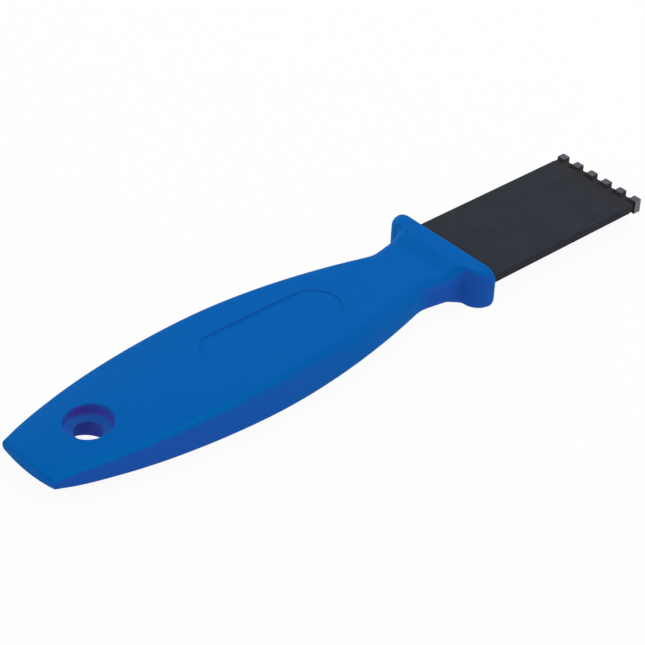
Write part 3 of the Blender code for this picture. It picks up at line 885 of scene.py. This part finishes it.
def grain_group():
    """Fine grain of a surface: a height for its bump and a mask for its roughness."""
    inputs = (("Scale", 2000.0), ("Coarse", 0.3))
    group, given, result = open_group("Surface grain", inputs, ("Height", "Mask"))
    if given:
        fine = noise(group, given.outputs["Scale"], Detail=3.0)
        wide = calculated(group, "MULTIPLY", given.outputs["Scale"], COARSE_SCALE)
        coarse = noise(group, wide, Detail=2.0)
        blend = add_node(group, "ShaderNodeMix", {"Factor": given.outputs["Coarse"], 2: fine, 3: coarse})
        group.links.new(blend.outputs[0], result.inputs["Height"])
        group.links.new(coarse, result.inputs["Mask"])
    return group


def edge_group():
    """Mask of the outer edges, where handling or grinding wears a surface."""
    group, given, result = open_group("Worn edges", (("Radius", 0.0002), ("Breakup", 0.4)), ("Mask",))
    if given:
        rounded = add_node(group, "ShaderNodeBevel", {"Radius": given.outputs["Radius"]}, samples=6)
        flat = add_node(group, "ShaderNodeNewGeometry")
        alike = add_node(group, "ShaderNodeVectorMath", {
            0: rounded.outputs["Normal"], 1: flat.outputs["Normal"]}, operation="DOT_PRODUCT")
        bent = ramp(group, alike.outputs["Value"], EDGE_BEND)
        patchy = noise(group, BREAKUP_SCALE, Detail=3.0)
        less = calculated(group, "MULTIPLY", patchy, given.outputs["Breakup"])
        mask = calculated(group, "MULTIPLY", bent, calculated(group, "SUBTRACT", 1.0, less))
        group.links.new(mask, result.inputs["Mask"])
    return group


def side_group():
    """Masks of steep near faces, ridges over them, walls turned to the butt and the back of the far ear,
    which place painted shade and painted highlights.
    """
    group, given, result = open_group("Shaded side", (), ("Mask", "Ridge", "Wall", "Ear"))
    if given:
        facing = add_node(group, "ShaderNodeNewGeometry")
        way = add_node(group, "ShaderNodeSeparateXYZ", {"Vector": facing.outputs["Normal"]})
        x, y, z = way.outputs
        steep = ramp(group, z, STEEP)
        at_guard = ramp(group, place_along(group, "X"), (GUARD_FRONT_X / 2, GUARD_FRONT_X))
        # Near faces count more where they also turn to the butt, and the guard's back counts by itself
        weight = calculated(group, "MULTIPLY_ADD", x, BUTT_SHARE, NEAR_SHARE)
        sideways = calculated(group, "MULTIPLY", y, weight)
        near = ramp(group, calculated(group, "MULTIPLY_ADD", x, at_guard, sideways), TURNED_NEAR)
        band = calculated(group, "MULTIPLY", ramp(group, z, RIDGE_RISE), ramp(group, z, RIDGE_FALL))
        far = calculated(group, "MULTIPLY", ramp(group, y, EAR_SIDE), at_guard)
        # Mask places painted shade on the sides, Ridge and Ear painted highlights, Wall painted shade on
        # backs and in the dish
        for label, first, second in (
                ("Mask", near, steep),
                ("Ridge", band, ramp(group, y, RIDGE_SIDE)),
                ("Wall", ramp(group, x, FACING_BUTT), steep),
                ("Ear", far, ramp(group, x, EAR_BACK))):
            group.links.new(calculated(group, "MULTIPLY", first, second), result.inputs[label])
    return group


def recess_group():
    """Mask of recesses, from how much of the open air a place sees, for painted shade."""
    group, given, result = open_group("Recesses", (("Reach", DISH_REACH),), ("Mask",))
    if given:
        seen = add_node(group, "ShaderNodeAmbientOcclusion", {"Distance": given.outputs["Reach"]},
                        samples=12, only_local=True)
        group.links.new(ramp(group, seen.outputs["AO"], SKY_HIDDEN), result.inputs["Mask"])
    return group


def placed(tree, group, **values):
    """What a shared group puts out in a material, with its own values."""
    return add_node(tree, "ShaderNodeGroup", values, node_tree=group).outputs


def drifted(tree, base, scale, amount):
    """A colour whose tone drifts slowly over the surface."""
    factor = placed(tree, drift_group(), Scale=scale, Amount=amount)["Factor"]
    shade = add_node(tree, "ShaderNodeVectorMath", {0: base[:3], "Scale": factor}, operation="SCALE")
    return shade.outputs["Vector"]


def grained(tree, shader, scale, coarse, roughness, depth):
    """Give a shader fine grain: its roughness between two values, and its bump."""
    grain = placed(tree, grain_group(), Scale=scale, Coarse=coarse)
    tree.links.new(ramp(tree, grain["Mask"], GRAIN_SPREAD, *roughness), shader.inputs["Roughness"])
    bump = add_node(tree, "ShaderNodeBump", {"Height": grain["Height"], "Distance": depth, "Strength": 1.0})
    tree.links.new(bump.outputs["Normal"], shader.inputs["Normal"])


def plastic_material():
    """Satin moulded plastic with painted shade and painted highlights: more violet on the shaded sides and
    down in the hole, paler on ridges and the far ear.
    """
    size, tint = sizes(), colours()
    material, tree, shader = new_tree("blue_plastic")
    side = placed(tree, side_group())
    along = place_along(tree, "X")
    base = drifted(tree, tint.plastic, scale=45.0, amount=0.05)
    # Painted shade: steep near faces and the guard's back lean to violet
    shaded = mixed(tree, side["Mask"], base, tint.plastic_painted_shade)
    # Painted highlight on the near ridges towards the butt and on the back of the far ear
    grip_back = ramp(tree, along, (BUTT_X + size.crown_place, BUTT_X + size.crown_place / 2))
    ridge = calculated(tree, "MULTIPLY", side["Ridge"], grip_back)
    ridged = mixed(tree, calculated(tree, "MAXIMUM", ridge, side["Ear"]), shaded, tint.plastic_painted_highlight)
    # Painted shade in the hanging hole's dish and bore, strongest on walls turned to the butt
    recess = placed(tree, recess_group())
    sunk = calculated(tree, "MULTIPLY", recess["Mask"], ramp(tree, side["Wall"], WHOLE, DISH_LEAST, 1.0))
    hole_x = BUTT_X + size.hole_place
    in_hole = calculated(tree, "MULTIPLY", sunk, ramp(tree, along, (hole_x + size.dish_width, hole_x)))
    tree.links.new(mixed(tree, in_hole, ridged, tint.plastic_painted_recess_shade), shader.inputs["Base Color"])
    shader.inputs["IOR"].default_value = 1.07
    grained(tree, shader, scale=2600.0, coarse=0.35, roughness=(0.46, 0.56), depth=0.00001)
    return material


def steel_material():
    """Blackened rolled steel: satin, slightly mottled, browned behind the tips and paler on worn edges."""
    tint = colours()
    material, tree, shader = new_tree("black_steel")
    rolled = drifted(tree, tint.steel, scale=110.0, amount=0.35)
    burnt = drifted(tree, tint.steel_scorched, scale=300.0, amount=0.6)
    scorch = ramp(tree, place_along(tree, "X"), (TIP_BACK_X - SCORCH_REACH, TIP_BACK_X))
    base = mixed(tree, scorch, rolled, burnt)
    edges = placed(tree, edge_group(), Radius=0.0004, Breakup=0.7)
    worn = calculated(tree, "MULTIPLY", edges["Mask"], WEAR_SHARE)
    tree.links.new(mixed(tree, worn, base, tint.steel_worn), shader.inputs["Base Color"])
    shader.inputs["IOR"].default_value = 1.12
    grained(tree, shader, scale=1800.0, coarse=0.5, roughness=(0.50, 0.62), depth=0.00001)
    return material


def carbide_material():
    """Ground carbide: dull grey, with painted shade on the backs, a painted reflection on the outer sides,
    and paler broken edges.
    """
    tint = colours()
    material, tree, shader = new_tree("grey_carbide")
    base = drifted(tree, tint.carbide, scale=500.0, amount=0.30)
    # Painted shade: the backs of the tips, turned to the butt, darker
    wall = placed(tree, side_group())["Wall"]
    back_shaded = mixed(tree, ramp(tree, wall, BACK_SHADE_SPAN), base, tint.carbide_painted_shade)
    # Painted reflection: the outer sides of the row of tips lighter
    aside = calculated(tree, "ABSOLUTE", place_along(tree, "Y"))
    outer = ramp(tree, aside, (BLADE_HIGH.y - BRAZE_GAP, BLADE_HIGH.y))
    sided = mixed(tree, outer, back_shaded, tint.carbide_painted_reflection)
    edges = placed(tree, edge_group(), Radius=0.00015, Breakup=0.5)
    tree.links.new(mixed(tree, edges["Mask"], sided, tint.carbide_edge), shader.inputs["Base Color"])
    shader.inputs["Metallic"].default_value = 0.1
    shader.inputs["IOR"].default_value = 1.3
    grained(tree, shader, scale=4000.0, coarse=0.4, roughness=(0.42, 0.55), depth=0.000008)
    return material


def braze_material():
    """Braze burnt dark brown beside the tips, with a foot the colour of the steel."""
    tint = colours()
    material, tree, shader = new_tree("dark_braze")
    burnt = drifted(tree, tint.braze, scale=900.0, amount=0.5)
    height = calculated(tree, "ABSOLUTE", place_along(tree, "Z"))
    half = PLATE_THICKNESS / 2
    climb = ramp(tree, height, (half, half + sizes().fillet))
    tree.links.new(mixed(tree, climb, tint.steel, burnt), shader.inputs["Base Color"])
    shader.inputs["IOR"].default_value = 1.12
    grained(tree, shader, scale=3000.0, coarse=0.6, roughness=(0.45, 0.65), depth=0.00002)
    return material


# Stage

CAMERA_PLACE = (-0.413039, -0.421962, 0.425009)
CAMERA_HEADING = radians(44.0502)
CAMERA_DROP = radians(35.9584)
CAMERA_ROLL = radians(3.2471)
CAMERA_LENS = 155.18
FLOOR_SIZE = 6
FLOOR_SHOWN = 0.94
FLOOR_GLOW = 0.5
WHITE = (1.0, 1.0, 1.0, 1.0)
WORLD_LEVEL = 0.17
WORLD_TINT = (1.04, 0.95, 1.06, 1.0)
TOP_TINT = (0.96, 1.00, 1.02)
SIDE_TINT = (1.08, 0.95, 1.04)

# Each lamp's name, place, size, power and tint
LAMPS = (
    ("overhead", (0.0, 0.0, 0.8), 0.9, 3.4, TOP_TINT),
    ("left", (-0.8, 0.1, 0.35), 0.7, 2.4, TOP_TINT),
    ("far", (0.1, 0.8, 0.45), 0.7, 2.1, TOP_TINT),
    ("right", (0.75, -0.25, 0.35), 0.6, 1.0, SIDE_TINT),
    ("near", (0.6, -0.6, 0.4), 0.6, 3.3, SIDE_TINT),
    ("behind", (0.6, 0.5, 0.6), 0.6, 1.2, TOP_TINT),
)


def shown_white(tree):
    """1 for what the camera, a reflection or a clear view sees directly, and 0 for light."""
    path = add_node(tree, "ShaderNodeLightPath").outputs
    most = calculated(tree, "MAXIMUM", path["Is Camera Ray"], path["Is Glossy Ray"])
    return calculated(tree, "MAXIMUM", most, path["Is Transmission Ray"])


def blended(tree, factor, first, second):
    """A shader between two others."""
    inputs = {0: factor, 1: first.outputs[0], 2: second.outputs[0]}
    return add_node(tree, "ShaderNodeMixShader", inputs)


def floor_material():
    """Pale lit floor that shows as white, keeps a faint shadow and is clear from below."""
    material, tree, shader = new_tree("pale_floor")
    shader.inputs["Base Color"].default_value = colours().floor
    shader.inputs["Roughness"].default_value = 0.9
    shader.inputs["Specular IOR Level"].default_value = 0.0
    glow = add_node(tree, "ShaderNodeEmission", {"Color": WHITE, "Strength": 1.0})
    share = ramp(tree, shown_white(tree), WHOLE, FLOOR_GLOW, FLOOR_SHOWN)
    lit = blended(tree, share, shader, glow)
    below = add_node(tree, "ShaderNodeNewGeometry").outputs["Backfacing"]
    both = blended(tree, below, lit, add_node(tree, "ShaderNodeBsdfTransparent"))
    tree.links.new(both.outputs[0], tree.nodes["Material Output"].inputs["Surface"])
    return material


def studio_world():
    """An even pale surrounding that shows as white."""
    world = bpy.data.worlds.new("studio")
    world.use_nodes = True
    tree = world.node_tree
    light = tree.nodes["Background"]
    light.inputs["Color"].default_value = WORLD_TINT
    light.inputs["Strength"].default_value = WORLD_LEVEL
    white = add_node(tree, "ShaderNodeBackground", {"Color": WHITE, "Strength": 1.0})
    both = blended(tree, shown_white(tree), light, white)
    tree.links.new(both.outputs[0], tree.nodes["World Output"].inputs["Surface"])
    bpy.context.scene.world = world


def add_lamp(name, place, size, power, tint):
    """A soft square lamp that faces the middle of the tool."""
    turn = Vector(place).to_track_quat("Z", "Y").to_euler()
    bpy.ops.object.light_add(type="AREA", location=place, rotation=turn)
    lamp = bpy.context.object
    lamp.name = name
    lamp.data.size = size
    lamp.data.energy = power
    lamp.data.color = tint


class SCRAPER_OT_stage(bpy.types.Operator):
    """Lay the floor, set the lamps and place the camera"""
    bl_idname = "scraper.stage"
    bl_label = "Stage"

    def execute(self, context):
        bpy.ops.object.select_all(action="DESELECT")
        bpy.ops.mesh.primitive_plane_add(size=FLOOR_SIZE, location=(0, 0, FLOOR_Z))
        floor = bpy.context.object
        floor.name = "floor"
        bpy.ops.object.transform_apply(location=True, rotation=True, scale=True)
        floor.data.materials.append(floor_material())
        studio_world()
        for lamp in LAMPS:
            add_lamp(*lamp)
        aim = Euler((pi / 2 - CAMERA_DROP, 0, -CAMERA_HEADING)).to_matrix()
        turn = (aim @ Matrix.Rotation(CAMERA_ROLL, 3, "Z")).to_euler()
        bpy.ops.object.camera_add(location=CAMERA_PLACE, rotation=turn)
        camera = bpy.context.object
        camera.name = "camera"
        camera.data.lens = CAMERA_LENS
        camera.data.clip_start = 0.01
        bpy.context.scene.camera = camera
        bpy.context.scene.view_settings.view_transform = "Standard"
        return {"FINISHED"}


class SCRAPER_PT_panel(bpy.types.Panel):
    """Sizes, colours and pieces of the scraper"""
    bl_idname = "SCRAPER_PT_panel"
    bl_label = "Carbide scraper"
    bl_space_type = "VIEW_3D"
    bl_region_type = "UI"
    bl_category = "Scraper"

    def draw(self, context):
        layout = self.layout
        for operator in OPERATORS:
            layout.operator(operator.bl_idname)
        for group in (sizes(), colours()):
            box = layout.box()
            for key in group.__annotations__:
                box.prop(group, key)


OPERATORS = (SCRAPER_OT_handle, SCRAPER_OT_blade, SCRAPER_OT_tips, SCRAPER_OT_braze, SCRAPER_OT_stage)
CLASSES = (ScraperSizes, ScraperColours) + OPERATORS + (SCRAPER_PT_panel,)


def register():
    """Register the classes and hang the sizes and colours on the scene."""
    for kind in CLASSES:
        bpy.utils.register_class(kind)
    bpy.types.Scene.scraper_sizes = PointerProperty(type=ScraperSizes)
    bpy.types.Scene.scraper_colours = PointerProperty(type=ScraperColours)


def unregister():
    """Take the classes and the scene's settings away again."""
    del bpy.types.Scene.scraper_colours
    del bpy.types.Scene.scraper_sizes
    for kind in reversed(CLASSES):
        bpy.utils.unregister_class(kind)


def main():
    """Build the scraper's pieces and the stage, and keep the sizes."""
    register()
    bpy.ops.scraper.handle()
    bpy.ops.scraper.blade()
    bpy.ops.scraper.tips()
    bpy.ops.scraper.braze()
    bpy.ops.scraper.stage()


if __name__ == "__main__":
    main()
